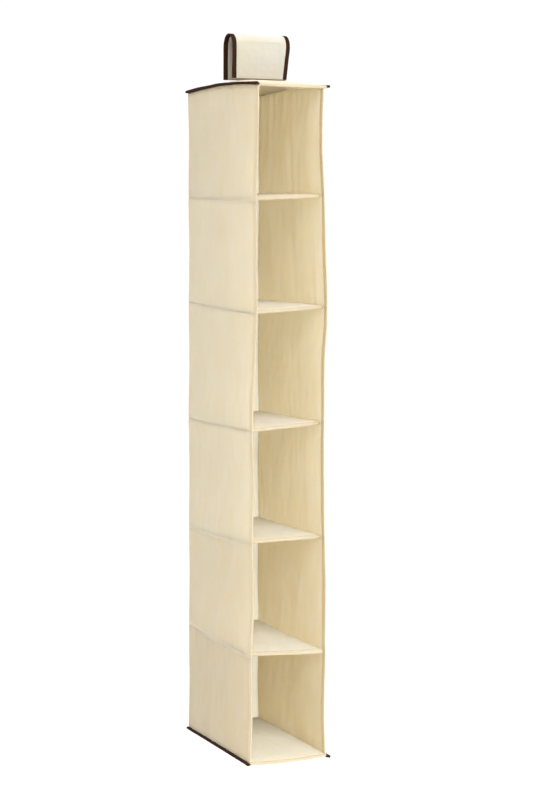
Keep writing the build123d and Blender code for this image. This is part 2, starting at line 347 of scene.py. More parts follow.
def cloth_material(name, light, dark, pitch=0.75, weave=0.30, slub=0.5, rough=0.88, sheen=0.15, mottle=0.5, seed=0.0, glow=0.0, spec=0.2):
    """woven cloth: colour drift, slubs along both threads, and a plain weave in the bump"""
    mt = bpy.data.materials.new(name)
    mt.use_nodes = True
    nt = mt.node_tree
    nt.nodes.clear()
    node = links(nt)
    out = node("ShaderNodeOutputMaterial")
    sh = node("ShaderNodeBsdfPrincipled")
    sh.inputs["Roughness"].default_value = rough
    sh.inputs["Specular IOR Level"].default_value = spec
    sh.inputs["Sheen Weight"].default_value = sheen
    sh.inputs["Sheen Roughness"].default_value = 0.6
    if glow:
        sh.inputs["Subsurface Weight"].default_value = 1.0
        sh.inputs["Subsurface Radius"].default_value = (1.0, 0.92, 0.76)
        sh.inputs["Subsurface Scale"].default_value = glow * MM
    nt.links.new(sh.outputs[0], out.inputs[0])
    uv = node("ShaderNodeUVMap", uv_map="cloth")
    sep = node("ShaderNodeSeparateXYZ")
    nt.links.new(uv.outputs[0], sep.inputs[0])
    u, v = sep.outputs[0], sep.outputs[1]
    # wander of the threads
    wob = node("ShaderNodeTexNoise", inputs={"Scale": 60.0, "Detail": 2.0})
    obj = node("ShaderNodeTexCoord")
    off = node("ShaderNodeVectorMath", operation="ADD")
    off.inputs[1].default_value = (seed, seed * 0.7, seed * 1.3)
    nt.links.new(obj.outputs["Object"], off.inputs[0])
    nt.links.new(off.outputs[0], wob.inputs["Vector"])
    wv = math_node(node, nt, "MULTIPLY", wob.outputs[0], 0.0012)
    uu = math_node(node, nt, "ADD", u, wv)
    vv = math_node(node, nt, "ADD", v, wv)
    k = 2 * math.pi / (pitch * MM)
    su = math_node(node, nt, "SINE", math_node(node, nt, "MULTIPLY", uu, k / 2))
    sv = math_node(node, nt, "SINE", math_node(node, nt, "MULTIPLY", vv, k / 2))
    cu = math_node(node, nt, "ABSOLUTE", su)
    cv = math_node(node, nt, "ABSOLUTE", sv)
    pu = math_node(node, nt, "SINE", math_node(node, nt, "MULTIPLY", uu, k / 2 * 0.5))
    pv = math_node(node, nt, "SINE", math_node(node, nt, "MULTIPLY", vv, k / 2 * 0.5))
    par = math_node(node, nt, "MULTIPLY", math_node(node, nt, "SIGN", pu), math_node(node, nt, "SIGN", pv))
    over = math_node(node, nt, "MAXIMUM", cu, cv)
    weave_h = math_node(node, nt, "ADD", math_node(node, nt, "MULTIPLY", over, 0.7),
                        math_node(node, nt, "MULTIPLY", par, 0.12))
    # slubs: long thin patches along each thread direction
    comb = []
    for a, c in ((14.0, 900.0), (900.0, 14.0)):
        cx = node("ShaderNodeCombineXYZ")
        nt.links.new(math_node(node, nt, "MULTIPLY", u, a), cx.inputs[0])
        nt.links.new(math_node(node, nt, "MULTIPLY", v, c), cx.inputs[1])
        cx.inputs[2].default_value = seed
        nz = node("ShaderNodeTexNoise", inputs={"Scale": 1.0, "Detail": 3.0, "Roughness": 0.6})
        nt.links.new(cx.outputs[0], nz.inputs["Vector"])
        comb.append(nz.outputs[0])
    slubs = math_node(node, nt, "MULTIPLY", math_node(node, nt, "ADD", comb[0], comb[1]), 0.5)
    big = node("ShaderNodeTexNoise", inputs={"Scale": 9.0, "Detail": 4.0, "Roughness": 0.55})
    nt.links.new(off.outputs[0], big.inputs["Vector"])
    mix = math_node(node, nt, "ADD",
                    math_node(node, nt, "MULTIPLY", math_node(node, nt, "SUBTRACT", slubs, 0.5), slub * 1.6),
                    math_node(node, nt, "MULTIPLY", math_node(node, nt, "SUBTRACT", big.outputs[0], 0.5), mottle * 1.4))
    mix = math_node(node, nt, "ADD", mix, math_node(node, nt, "MULTIPLY", weave_h, 0.25))
    mix = math_node(node, nt, "ADD", mix, 0.30)
    ramp = node("ShaderNodeMix", data_type="RGBA", clamp_factor=True)
    ramp.inputs[6].default_value = (*dark, 1)
    ramp.inputs[7].default_value = (*light, 1)
    nt.links.new(mix, ramp.inputs[0])
    # faint warm and cool patches, as in undyed cotton
    patch = node("ShaderNodeTexNoise", inputs={"Scale": 24.0, "Detail": 3.0, "Roughness": 0.5})
    nt.links.new(off.outputs[0], patch.inputs["Vector"])
    share = node("ShaderNodeMapRange", inputs={"From Min": 0.34, "From Max": 0.66})
    nt.links.new(patch.outputs[0], share.inputs["Value"])
    tint = node("ShaderNodeMix", data_type="RGBA", blend_type="MIX", clamp_factor=True)
    tint.inputs[6].default_value = (0.985, 1.0, 1.03, 1)
    tint.inputs[7].default_value = (1.0, 0.98, 0.93, 1)
    nt.links.new(share.outputs["Result"], tint.inputs[0])
    mul = node("ShaderNodeMix", data_type="RGBA", blend_type="MULTIPLY", clamp_factor=True)
    mul.inputs[0].default_value = 1.0
    nt.links.new(ramp.outputs[2], mul.inputs[6])
    nt.links.new(tint.outputs[2], mul.inputs[7])
    nt.links.new(mul.outputs[2], sh.inputs["Base Color"])
    height = math_node(node, nt, "ADD", weave_h, math_node(node, nt, "MULTIPLY", slubs, 0.6))
    bump = node("ShaderNodeBump", inputs={"Strength": weave, "Distance": 0.00025})
    nt.links.new(height, bump.inputs["Height"])
    nt.links.new(bump.outputs[0], sh.inputs["Normal"])
    return mt


def lin(r, g, b):
    return tuple(((c / 255) / 12.92 if c / 255 <= 0.04045 else ((c / 255 + 0.055) / 1.055) ** 2.4) for c in (r, g, b))


CREAM_LIGHT, CREAM_DARK = lin(219, 203, 174), lin(204, 187, 154)


def toned(c, t):
    return tuple(x * y for x, y in zip(c, t))


# each compartment's wall cloth gets its own tone; compartments 5 and 6 are painted darker, painted shade for the light
# falling off towards the bottom; hems are three layers thick and let less light through
TONE_WITH_PAINTED_FALLOFF = {1: (0.90, 0.90, 0.92), 2: (0.925, 0.93, 0.96), 3: (0.925, 0.93, 0.955), 4: (0.905, 0.91, 0.94), 5: (0.83, 0.825, 0.845), 6: (0.725, 0.72, 0.725)}
WALL_CLOTH = {k: cloth_material(f"cotton_wall_{k}", toned(CREAM_LIGHT, t), toned(CREAM_DARK, t), seed=1.0 + k, glow=9.0) for k, t in TONE_WITH_PAINTED_FALLOFF.items()}
# lighter, and lets more light through, which brightens the compartments
BACK_CLOTH = cloth_material("cotton_wall_back", lin(230, 217, 190), lin(217, 203, 172), seed=15.0, glow=12.0)
HEM_CLOTH = cloth_material("cotton_hem", toned(CREAM_LIGHT, (0.92, 0.91, 0.90)), toned(CREAM_DARK, (0.92, 0.91, 0.90)), seed=9.0, glow=8.0)
# painted shade: a duller, darker tone for the rolled front edges, which otherwise burn out under the lights
EDGE_SHADE_CLOTH = cloth_material("painted_shade_edge", lin(206, 194, 168), lin(190, 176, 148), seed=11.0, glow=1.2, mottle=0.9)
# painted light: the shelf and floor covers are much lighter than the wall cloth, so their tops inside the compartments
# read as lit
cream_painted_light = cloth_material("painted_light_cover", lin(249, 240, 218), lin(241, 230, 206), seed=1.0, glow=1.6)
# painted light: the lining under the boards is near white, standing in for light that barely reaches the compartment
# ceiling
lining_painted_light = cloth_material("painted_light_lining", lin(247, 233, 200), lin(239, 223, 186), seed=8.0, glow=1.2)
cream_top = cloth_material("cotton_top", lin(218, 203, 174), lin(203, 187, 156), seed=12.0, glow=1.6)
cream_pale = cloth_material("cotton_pale", lin(206, 203, 192), lin(196, 192, 179), seed=4.0, glow=2.0)
brown = cloth_material("tape_brown", lin(66, 40, 28), lin(35, 19, 12), pitch=0.55, weave=0.4, rough=0.88, sheen=0.0, seed=7.0, spec=0.08)
thread = cloth_material("thread_natural", lin(222, 204, 168), lin(204, 184, 142), pitch=0.3, weave=0.5, seed=2.0, glow=1.0)
thread_brown = cloth_material("thread_brown", lin(56, 34, 26), lin(34, 20, 15), pitch=0.3, weave=0.5, seed=3.0)
nap = cloth_material("hook_nap", lin(232, 224, 204), lin(205, 194, 168), pitch=1.3, weave=0.9, slub=0.8, rough=0.95, sheen=0.4, seed=5.0)
fibre = cloth_material("fibre_board", lin(238, 230, 212), lin(222, 212, 188), pitch=2.2, weave=0.08, slub=1.0, mottle=1.2, rough=0.8, sheen=0.0, seed=6.0)

HEM = 12.0


def hem_profile(d):
    """cloth thickness at a distance from the front edge: folded hem with a rolled edge and a stitched step"""
    d = np.asarray(d, float)
    full = 2.9
    roll = np.clip(d / 1.3, 0, 1)
    t = full * np.sqrt(np.clip(1 - (1 - roll) ** 2, 0.03, 1))
    step = 1 / (1 + np.exp(np.clip((d - HEM) / 0.28, -60, 60)))
    t = WALL_T + (t - WALL_T) * step
    dip = -0.32 * np.exp(-((d - (HEM - 2.2)) / 0.55) ** 2)
    return t + dip * step


def hem_columns():
    near = [0, 0.25, 0.6, 1.0, 1.6, 2.6, 4.2, 6.2, 8.0, 9.0, 9.4, 9.8, 10.2, 10.8, 11.4, 11.8, 12.1, 12.5, 13.2, 14.5, 16.5, 19.0]
    far = list(np.arange(23.0, 2 * HALF_D - 8, 5.0)) + [2 * HALF_D - 6, 2 * HALF_D - 3, 2 * HALF_D - 1, 2 * HALF_D]
    return np.array(near + far)


def rows(n=46):
    """shares down a wall, closer together at both seams"""
    t = np.linspace(0, 1, n)
    e = np.array([0, 0.004, 0.010, 0.018, 0.028])
    return np.unique(np.concatenate([t, e, 1 - e]))


def side_wall(k, side):
    d = hem_columns()
    y = -HALF_D + d
    t = rows()
    Y, T = np.meshgrid(y, t, indexing="ij")
    sx = side * HALF_W
    if k == 1:
        top = dome(sx, Y) - PANEL_T + 0.6
    else:
        top = seam_z(k - 1, sx, Y)
    bot = seam_z(k, sx, Y) if k < 6 else BASE_Z + 1.6 - sag(sx, Y)
    Z = top + (bot - top) * T
    h = top - bot
    X = side_x(side, Y, Z)
    s = depth_share(Y)
    down, up = T * h, (1 - T) * h
    # taut cloth draws in between the boards
    bow = 3.6 * (1 - (2 * s - 1) ** 4) * np.sin(math.pi * T) ** 0.9
    held = (1 - np.exp(-down / 5)) * (1 - np.exp(-up / 5))
    back = 1 - np.exp(-(2 * HALF_D - (Y + HALF_D)) / 7)
    seed = 100 * k + (10 if side > 0 else 0)
    wr = (1.1 if side < 0 else 0.8) * field(Y, Z, 95, seed, stretch=(0.8, 1.5))
    wr = wr + 0.35 * field(Y, Z, 34, seed + 1, stretch=(0.7, 1.7))
    wr = wr + 0.42 * np.exp(-down / 13) * ripple(Y + 0.12 * down, 11, seed + 2)
    wr = wr + 0.42 * np.exp(-up / 13) * ripple(Y - 0.12 * up, 11, seed + 3)
    gather = 0.8 if k == 1 else 0.35
    wr = wr + gather * np.exp(-down / (55 if k == 1 else 40)) * ripple(Y + 0.06 * down, 27, seed + 4)
    wr = wr + 0.5 * np.exp(-up / 40) * ripple(Y, 30, seed + 5)
    front = 0.35 + 0.65 * (1 - np.exp(-(Y + HALF_D) / 18))
    off = bow + wr * held * back * front
    # stitched seam draws the cloth in a little
    pinch = 0.4 * (np.exp(-(down / 3.0) ** 2) + np.exp(-(up / 3.0) ** 2))
    X = X - side * (off + pinch)
    P = np.stack([X, Y, Z], 2)
    b = Build()
    uv = np.stack([Y, Z], 2)
    th = hem_profile(Y + HALF_D)
    order = P if side > 0 else P[::-1]
    a, c, nn = shell(b, order, th if side > 0 else th[::-1], uv if side > 0 else uv[::-1])
    verts = np.concatenate(b.v)
    tops, bots = np.tile((down if side > 0 else down[::-1]).ravel(), 2), np.tile((up if side > 0 else up[::-1]).ravel(), 2)
    # index 3, the left wall's rolled front edge, is the darker edge cloth (painted shade); index 2 is the hem and seam
    # cloth
    b.m = [3 if side < 0 and verts[list(f), 1].mean() < -HALF_D + 1.2 else 2 if verts[list(f), 1].mean() < -HALF_D + HEM or bots[list(f)].mean() < 5.5 or tops[list(f)].mean() < 2.5 else 0
           for f in b.f]
    # a: one face, c: the other; which is outside follows from the normal's sign
    if side < 0:
        a, c, nn = a[::-1], c[::-1], nn[::-1]
    outer, inner, no = (a, c, nn) if np.mean(nn[..., 0]) * side > 0 else (c, a, -nn)
    col = int(np.argmin(np.abs(d - (HEM - 2.2))))
    stitches(b, outer[col], no[col], 1)
    stitches(b, inner[col], -no[col], 1)
    # seam to the panels above and below, seen outside
    j0 = int(np.argmin(np.abs(t * PITCH - 3.5)))
    j1 = int(np.argmin(np.abs((1 - t) * PITCH - 3.5)))
    stitches(b, outer[1:, j0 if k > 1 else j0], no[1:, j0], 1)
    if k == 6:
        stitches(b, outer[1:, j1], no[1:, j1], 1)
    ob = b.make(f"cloth_{k}_{'right' if side > 0 else 'left'}", [WALL_CLOTH[k], thread, HEM_CLOTH, EDGE_SHADE_CLOTH])
    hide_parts(f"wall_{k}_{'right' if side > 0 else 'left'}")
    return ob, P


def back_wall(k):
    n = 41
    w = np.linspace(0, 1, n)
    t = rows()
    Wd, T = np.meshgrid(w, t, indexing="ij")
    y0 = HALF_D - WALL_T / 2
    xa = -HALF_W + 2 * HALF_W * Wd
    if k == 1:
        top = dome(xa, HALF_D) - PANEL_T + 0.6 + 0 * Wd
    else:
        top = seam_z(k - 1, xa, HALF_D)
    bot = seam_z(k, xa, HALF_D) if k < 6 else np.full_like(Wd, BASE_Z + 1.6)
    Z = top + (bot - top) * T
    h = top - bot
    xl, xr = side_x(-1, HALF_D, Z), side_x(1, HALF_D, Z)
    X = xl + (xr - xl) * Wd
    down, up = T * h, (1 - T) * h
    held = (1 - np.exp(-down / 5)) * (1 - np.exp(-up / 5))
    edge = (1 - np.exp(-(Wd * 2 * HALF_W) / 7)) * (1 - np.exp(-((1 - Wd) * 2 * HALF_W) / 7))
    seed = 100 * k + 50
    bow = 3.4 * np.sin(math.pi * Wd) ** 0.8 * np.sin(math.pi * T) ** 0.9
    wr = 1.0 * field(X, Z, 90, seed, stretch=(0.8, 1.5)) + 0.35 * field(X, Z, 34, seed + 1, stretch=(0.7, 1.7))
    wr = wr + 0.45 * np.exp(-down / 13) * ripple(X, 11, seed + 2) + 0.45 * np.exp(-up / 13) * ripple(X, 11, seed + 3)
    wr = wr + (1.4 if k == 1 else 0.6) * np.exp(-down / (70 if k == 1 else 45)) * ripple(X, 26, seed + 4)
    pinch = 0.4 * (np.exp(-(down / 3.0) ** 2) + np.exp(-(up / 3.0) ** 2))
    Y = y0 - (bow + wr * held * edge + pinch * edge)
    P = np.stack([X, Y, Z], 2)
    b = Build()
    a, c, nn = shell(b, P, WALL_T, np.stack([X, Z], 2))
    outer, no = (a, nn) if np.mean(nn[..., 1]) > 0 else (c, -nn)
    j0 = int(np.argmin(np.abs(t * PITCH - 3.5)))
    stitches(b, outer[:, j0], no[:, j0], 1)
    if k == 6:
        j1 = int(np.argmin(np.abs((1 - t) * PITCH - 3.5)))
        stitches(b, outer[:, j1], no[:, j1], 1)
    ob = b.make(f"cloth_{k}_back", [BACK_CLOTH, thread])
    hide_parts(f"wall_{k}_back")
    return ob, P


CHAIN = ["top"] + [f"tier_{i}" for i in range(1, 6)] + ["floor_panel"]


def hang(ob, k):
    """cloth of compartment k hangs from the body above"""
    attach(ob, CHAIN[k - 1])
    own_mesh(ob)


for k in range(1, 7):
    made = [side_wall(k, -1), side_wall(k, 1), back_wall(k)]
    for (ob, P), wide in zip(made, (2 * HALF_D + 24, 2 * HALF_D + 24, 2 * HALF_W)):
        hang(ob, k)


# ------------------------------------------------------------------ shelves
def wall_inside(side, y, z):
    """x of a side wall's inner face near a shelf"""
    return side_x(side, y, z) - side * (0.7 + WALL_T / 2)


def covered(k, x, y):
    """middle height of shelf k's board"""
    fl, fr, br, bl = SHELF[k][:4]
    s = depth_share(y)
    w = np.clip((np.asarray(x, float) + HALF_W) / (2 * HALF_W), 0, 1)
    sag_l, sag_r = (0.5 * v for v in TILT[k][4:])
    left = fl * (1 - s) + bl * s + sag_l * 4 * s * (1 - s)
    right = fr * (1 - s) + br * s + sag_r * 4 * s * (1 - s)
    return level(k) + left * (1 - w) + right * w - 1.6 * np.sin(math.pi * w) * 4 * s * (1 - s)


def loop_section(n_long):
    """closed outline of a covered board: (share along the depth, height share, bulge), rounded at front and back"""
    pts = []
    for i in range(n_long + 1):
        pts.append((i / n_long, 1.0, 0.0))
    for i in range(1, 8):
        a = math.pi / 2 - math.pi * i / 8
        pts.append((1.0, math.sin(a), math.cos(a)))
    for i in range(n_long + 1):
        pts.append((1 - i / n_long, -1.0, 0.0))
    for i in range(1, 8):
        a = -math.pi / 2 - math.pi * i / 8
        pts.append((0.0, math.sin(a), math.cos(a)))
    return pts


def tube(b, P, uv, thick):
    """cloth of the given thickness wrapped round in a closed loop along the first direction, open at both ends"""
    n, m = P.shape[:2]
    nn = np.cross(np.roll(P, -1, 0) - np.roll(P, 1, 0), np.gradient(P, axis=1))
    nn /= np.maximum(np.linalg.norm(nn, axis=2, keepdims=True), 1e-9)
    mid = P.mean(axis=0, keepdims=True)
    if np.mean(((P - mid) * nn).sum(2)) < 0:
        nn = -nn
    inner = P - nn * thick
    kk = n * m
    faces = grid_faces(n, m, close_u=True)
    faces += [tuple(i + kk for i in f) for f in grid_faces(n, m, flip=True, close_u=True)]
    for i in range(n):
        i2 = (i + 1) % n
        faces.append((i * m, i2 * m, i2 * m + kk, i * m + kk))
        faces.append((i2 * m + m - 1, i * m + m - 1, i * m + m - 1 + kk, i2 * m + m - 1 + kk))
    b.add(np.concatenate([P.reshape(-1, 3), inner.reshape(-1, 3)]), faces, 0,
          np.concatenate([uv.reshape(-1, 2), uv.reshape(-1, 2)]))
    return nn


def shelf(k):
    lo, hi = node_box(f"shelf_{k}_sleeve")
    half_t = 3.4
    n_long, nx = 54, 37
    set_l, set_r = SHELF[k][4:]
    y1 = hi[1] - 0.8 - half_t
    w = np.unique(np.concatenate([np.linspace(0, 1, nx), [0.008, 0.018, 0.982, 0.992]]))
    seed = 700 + k
    rings, uvs, run, last = [], [], 0.0, None
    for (s, hgt, bulge) in loop_section(n_long):
        y0 = -HALF_D + set_l + (set_r - set_l) * w + half_t
        y = y0 + (y1 - y0) * s
        if bulge:
            y = y + (half_t * abs(bulge) if s > 0.5 else -half_t * abs(bulge))
        z_here = covered(k, 0, y)
        xl, xr = wall_inside(-1, y, z_here), wall_inside(1, y, z_here)
        x = xl + (xr - xl) * w
        zc = covered(k, x, y)
        edge = np.minimum(w, 1 - w) * 2 * HALF_W
        puff = 0.35 * field(x, y, 46, seed + (0 if hgt > 0 else 1)) + 0.12 * ripple(x, 9, seed + 2)
        puff = puff + 0.4 * np.exp(-edge / 9) * ripple(y + 0 * x, 12, seed + 3)
        front = 1 - depth_share(y)
        full = half_t * (1 - 0.16 * np.exp(-edge / 2.0)) + (1.3 * w * front**4 if k == 5 else 0)
        z = zc + hgt * (full + puff * (1 - np.exp(-edge / 3)) * (abs(hgt) > 0.5))
        p = np.stack([x, y, z], 1)
        if last is not None:
            run += float(np.linalg.norm(p[len(w) // 2] - last))
        last = p[len(w) // 2]
        rings.append(p)
        uvs.append(np.stack([x, np.full_like(x, run)], 1))
    P, uv = np.stack(rings), np.stack(uvs)
    b = Build()
    nn = tube(b, P, uv, 1.0)
    around = np.tile(np.repeat(np.arange(P.shape[0]), P.shape[1]), 2)
    # the shelf's front roll gets the darker edge cloth, painted shade
    b.m = [2 if around[list(f)].min() >= 2 * (n_long + 1) + 5 or around[list(f)].max() <= 1 else 0 for f in b.f]
    # two stitch rows that close the sleeve behind its front roll, above and below
    for row in (2, n_long + 8 + n_long - 2):
        stitches(b, P[row], nn[row], 1)
    ob = b.make(f"shelf_{k}_cover", [cream_painted_light, thread, EDGE_SHADE_CLOTH])
    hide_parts(f"shelf_{k}_sleeve")
    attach(ob, f"tier_{k}")

    # the loose board inside
    bb = Build()
    ys = np.linspace(lo[1] + 4, hi[1] - 5, 30)
    ws = np.linspace(0.02, 0.98, 15)
    Yb, Wb = np.meshgrid(ys, ws, indexing="ij")
    zl = covered(k, 0, Yb)
    xl, xr = wall_inside(-1, Yb, zl) + 1.5, wall_inside(1, Yb, zl) - 1.5
    Xb = xl + (xr - xl) * Wb
    shell(bb, np.stack([Xb, Yb, covered(k, Xb, Yb)], 2), 3.0, np.stack([Xb, Yb], 2))
    board = bb.make(f"shelf_{k}_stiffener", [fibre])
    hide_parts(f"shelf_{k}_board")
    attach(board, f"tier_{k}")


for k in range(1, 6):
    shelf(k)


# ------------------------------------------------------------------ top and floor panels
HALF_P = PANEL_T / 2


def panel_mid(kind, x, y):
    if kind == "top":
        return dome(x, y) - HALF_P
    return BASE_Z + HALF_P - sag(x, y)


def panel_cover(name, kind, node, body):
    """the panel's outer cloth, drawn round its front and back edges and turned under"""
    under = 9.0
    path = []
    y0, y1 = -HALF_D + HALF_P, HALF_D - HALF_P
    for t in np.linspace(0, 1, 5):
        path.append((y0 + under * (1 - t), -1.0, 0.0))
    for i in range(1, 9):
        a = -math.pi / 2 - math.pi * i / 9
        path.append((y0, math.sin(a), math.cos(a)))
    for t in np.linspace(0, 1, 62):
        path.append((y0 + (y1 - y0) * t, 1.0, 0.0))
    for i in range(1, 9):
        a = math.pi / 2 - math.pi * i / 9
        path.append((y1, math.sin(a), math.cos(a)))
    for t in np.linspace(0, 1, 5):
        path.append((y1 - under * t, -1.0, 0.0))
    w = np.linspace(0, 1, 45)
    P, uv, run, last = [], [], 0.0, None
    seed = 31 if kind == "top" else 35
    for (yc, hgt, bulge) in path:
        y = yc + HALF_P * bulge
        y = np.full_like(w, y)
        xl, xr = panel_x(-1, y, kind), panel_x(1, y, kind)
        x = xl + (xr - xl) * w
        edge = np.minimum(w, 1 - w) * 2 * HALF_W
        soft = (0.5 * field(x, y, 70, seed) + 0.18 * field(x, y, 24, seed + 1)) * (hgt > 0.5)
        soft = soft + 0.22 * ripple(x, 17, seed + 2) * (abs(hgt) < 0.9)
        z = panel_mid(kind, x, y) + hgt * (HALF_P - 0.5) + soft * (1 - np.exp(-edge / 6))
        p = np.stack([x, y, z], 1)
        if last is not None:
            run += float(np.linalg.norm(p[22] - last))
        last = p[22]
        P.append(p)
        uv.append(np.stack([x, np.full_like(x, run)], 1))
    P, uv = np.stack(P), np.stack(uv)
    b = Build()
    a, c, nn = shell(b, P, 1.0, uv)
    across = np.tile(np.repeat(P[:, 0, 1], P.shape[1]), 2)
    # the rolls round the front and back edges get the darker edge cloth, painted shade
    b.m = [2 if abs(across[list(f)].mean()) > HALF_D - HALF_P + 0.3 else 0 for f in b.f]
    top_rows = range(13, 75)
    mean = np.mean(nn[20:60, :, 2])
    face, no = (a, nn) if mean > 0 else (c, -nn)
    for want in (-HALF_D + 9, HALF_D - 9):
        i = min(top_rows, key=lambda r: abs(P[r, 0, 1] - want))
        stitches(b, face[i], no[i], 1)
    ob = b.make(name, [cream_top if name == "top_cover" else cream_painted_light, thread, EDGE_SHADE_CLOTH])
    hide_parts(node)
    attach(ob, body)


def panel_lining(name, kind, node, body):
    """the cloth under the board, its front and back edges tucked over the turned-in cover"""
    ys = np.linspace(-HALF_D + 6.5, HALF_D - 6.5, 60)
    w = np.linspace(0.004, 0.996, 41)
    Y, W = np.meshgrid(ys, w, indexing="ij")
    xl, xr = panel_x(-1, Y, kind), panel_x(1, Y, kind)
    X = xl + (xr - xl) * W
    Z = panel_mid(kind, X, Y) - (HALF_P - 0.5)
    d = np.minimum(Y + HALF_D, HALF_D - Y)
    lift = 1.1 * np.clip((14.5 - d) / 1.5, 0, 1)
    edge = np.minimum(W, 1 - W) * 2 * HALF_W
    soft = 0.28 * field(X, Y, 60, 57 if kind == "top" else 58) * (1 - np.exp(-edge / 6)) * np.clip((d - 15) / 10, 0, 1)
    if kind == "floor":
        soft = soft * 0.5
    b = Build()
    shell(b, np.stack([X, Y, Z + lift + soft], 2), 1.0, np.stack([X, Y], 2))
    ob = b.make(name, [lining_painted_light, thread])
    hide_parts(node)
    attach(ob, body)


panel_cover("top_cover", "top", "top_upper_cloth", "top")
panel_lining("top_lining", "top", "top_lower_cloth", "top")
panel_cover("floor_cover", "floor", "floor_upper_cloth", "floor_panel")
panel_lining("floor_underside", "floor", "floor_lower_cloth", "floor_panel")

for name, kind, node, body in (("top_stiffener", "top", "top_board", "top"),
                               ("floor_stiffener", "floor", "floor_board", "floor_panel")):
    b = Build()
    ys = np.linspace(-HALF_D + 4.5, HALF_D - 4.5, 40)
    ws = np.linspace(0.03, 0.97, 15)
    Yb, Wb = np.meshgrid(ys, ws, indexing="ij")
    xl, xr = panel_x(-1, Yb, kind), panel_x(1, Yb, kind)
    Xb = xl + (xr - xl) * Wb
    shell(b, np.stack([Xb, Yb, panel_mid(kind, Xb, Yb) + 0.6], 2), 2.6, np.stack([Xb, Yb], 2))
    ob = b.make(name, [fibre])
    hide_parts(node)
    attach(ob, body)


# ------------------------------------------------------------------ brown bindings
def tape_section(width, thick, n=28):
    """folded tape seen end-on: rounded outer fold, a pinch at the stitching, open at the seam"""
    pts = []
    for i in range(n):
        a = 2 * math.pi * i / n
        c, s = math.cos(a), math.sin(a)
        x = width / 2 * np.sign(c) * abs(c) ** 0.35
        z = thick / 2 * np.sign(s) * abs(s) ** 0.55
        # fuller at the outer fold, drawn in under the stitches
        z *= 1.0 + 0.12 * (x / (width / 2)) - 0.22 * math.exp(-((x + width * 0.16) / 1.1) ** 2)
        pts.append((x, z))
    return np.array(pts)


def binding(name, node, body, side, kind):
    ys = np.linspace(-HALF_D - 1.6, HALF_D + 1.8, 150)
    width, thick = (7.4, 4.6) if kind == "top" else (6.6, 4.6)
    if kind == "floor" and side > 0:
        width = 10.6
    sec = tape_section(width, thick)
    b = Build()
    P = np.zeros((len(ys), len(sec), 3))
    N = np.zeros_like(P)
    seed = 900 + (10 if kind == "top" else 0) + (1 if side > 0 else 0)
    for i, y in enumerate(ys):
        x0 = float(panel_x(side, y, kind)) + side * (WALL_T / 2 - 0.9)
        if kind == "top":
            z0 = float(dome(side * HALF_W, y)) - PANEL_T / 2 + 0.4
            tilt = math.radians(14) + 0.05 * float(ripple(np.array(y), 90, seed))
        else:
            z0 = BASE_Z + PANEL_T / 2 - (0.9 if side < 0 else 1.9) - float(sag(side * HALF_W, y))
            tilt = math.radians(-2 if side < 0 else -13) + 0.03 * float(ripple(np.array(y), 90, seed))
        wob = 0.12 * float(ripple(np.array(y), 34, seed + 3))
        swell = 1 + 0.04 * float(ripple(np.array(y), 14, seed + 4))
        ends = min(y + HALF_D + 1.6, HALF_D + 1.8 - y)
        cap = math.sqrt(max(0.05, 1 - max(0, 1 - ends / 1.1) ** 2))
        lx = (sec[:, 0] + width / 2) * (1 if ends > 1.1 else 0.9 + 0.1 * cap)
        lz = sec[:, 1] * swell * cap
        dx = lx * math.cos(tilt) - lz * math.sin(tilt)
        dz = lx * math.sin(tilt) + lz * math.cos(tilt) + wob
        P[i, :, 0] = x0 + side * dx
        P[i, :, 1] = y
        P[i, :, 2] = z0 + dz
    run = np.broadcast_to(ys[:, None], P.shape[:2])
    around = np.broadcast_to(np.cumsum(np.r_[0, np.linalg.norm(np.diff(sec, axis=0), axis=1)])[None, :], P.shape[:2])
    uv = np.stack([around, run], 2)
    n, m = P.shape[:2]
    faces = []
    for i in range(n - 1):
        for j in range(m):
            j2 = (j + 1) % m
            q = (i * m + j, i * m + j2, (i + 1) * m + j2, (i + 1) * m + j)
            faces.append(q if side > 0 else q[::-1])
    e0 = tuple(range(m))
    e1 = tuple((n - 1) * m + j for j in range(m))
    faces.append(e0[::-1] if side > 0 else e0)
    faces.append(e1 if side > 0 else e1[::-1])
    b.add(P.reshape(-1, 3), faces, 0, uv.reshape(-1, 2))
    # one row of stitching on each face of the tape
    nn = np.cross(np.roll(P, -1, 1) - np.roll(P, 1, 1), np.gradient(P, axis=0))
    nn /= np.maximum(np.linalg.norm(nn, axis=2, keepdims=True), 1e-9)
    cen = P.mean(axis=1, keepdims=True)
    if np.mean(((P - cen) * nn).sum(2)) < 0:
        nn = -nn
    for want in (1, -1):
        cand = [j for j in range(m) if sec[j, 1] * want > 0]
        j = min(cand, key=lambda q: abs(sec[q, 0] + width * 0.16))
        stitches(b, P[3:-3, j], nn[3:-3, j], 1, length=2.4, gap=1.0, width=0.55)
    ob = b.make(name, [brown, thread_brown])
    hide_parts(node)
    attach(ob, body)
    return ob


binding("top_tape_left", "top_binding_left", "top", -1, "top")
binding("top_tape_right", "top_binding_right", "top", 1, "top")
binding("floor_tape_left", "floor_binding_left", "floor_panel", -1, "floor")
binding("floor_tape_right", "floor_binding_right", "floor_panel", 1, "floor")

# ------------------------------------------------------------------ strap
_slo, _shi = node_box("strap_back")
STRAP_R = _shi[1] - 1.25            # middle of the strap, from the rod's axis
FLAP_LOW = node_box("strap_flap")[0][2]
TAPE_W = 9.0


def strap_path(n_leg=34, n_arc=40):
    """(y, z, outward y, outward z) up the back, over the rod and down the front"""
    pts = []
    base = float(dome(0, STRAP_R)) + 0.4
    for i in range(n_leg):
        t = i / n_leg
        pts.append((STRAP_R, base * (1 - t), 1.0, 0.0))
    for i in range(n_arc + 1):
        a = math.pi * i / n_arc
        pts.append((STRAP_R * math.cos(a), STRAP_R * math.sin(a), math.cos(a), math.sin(a)))
    for i in range(1, n_leg + 1):
        t = i / n_leg
        pts.append((-STRAP_R, FLAP_LOW * t, -1.0, 0.0))
    return np.array(pts)


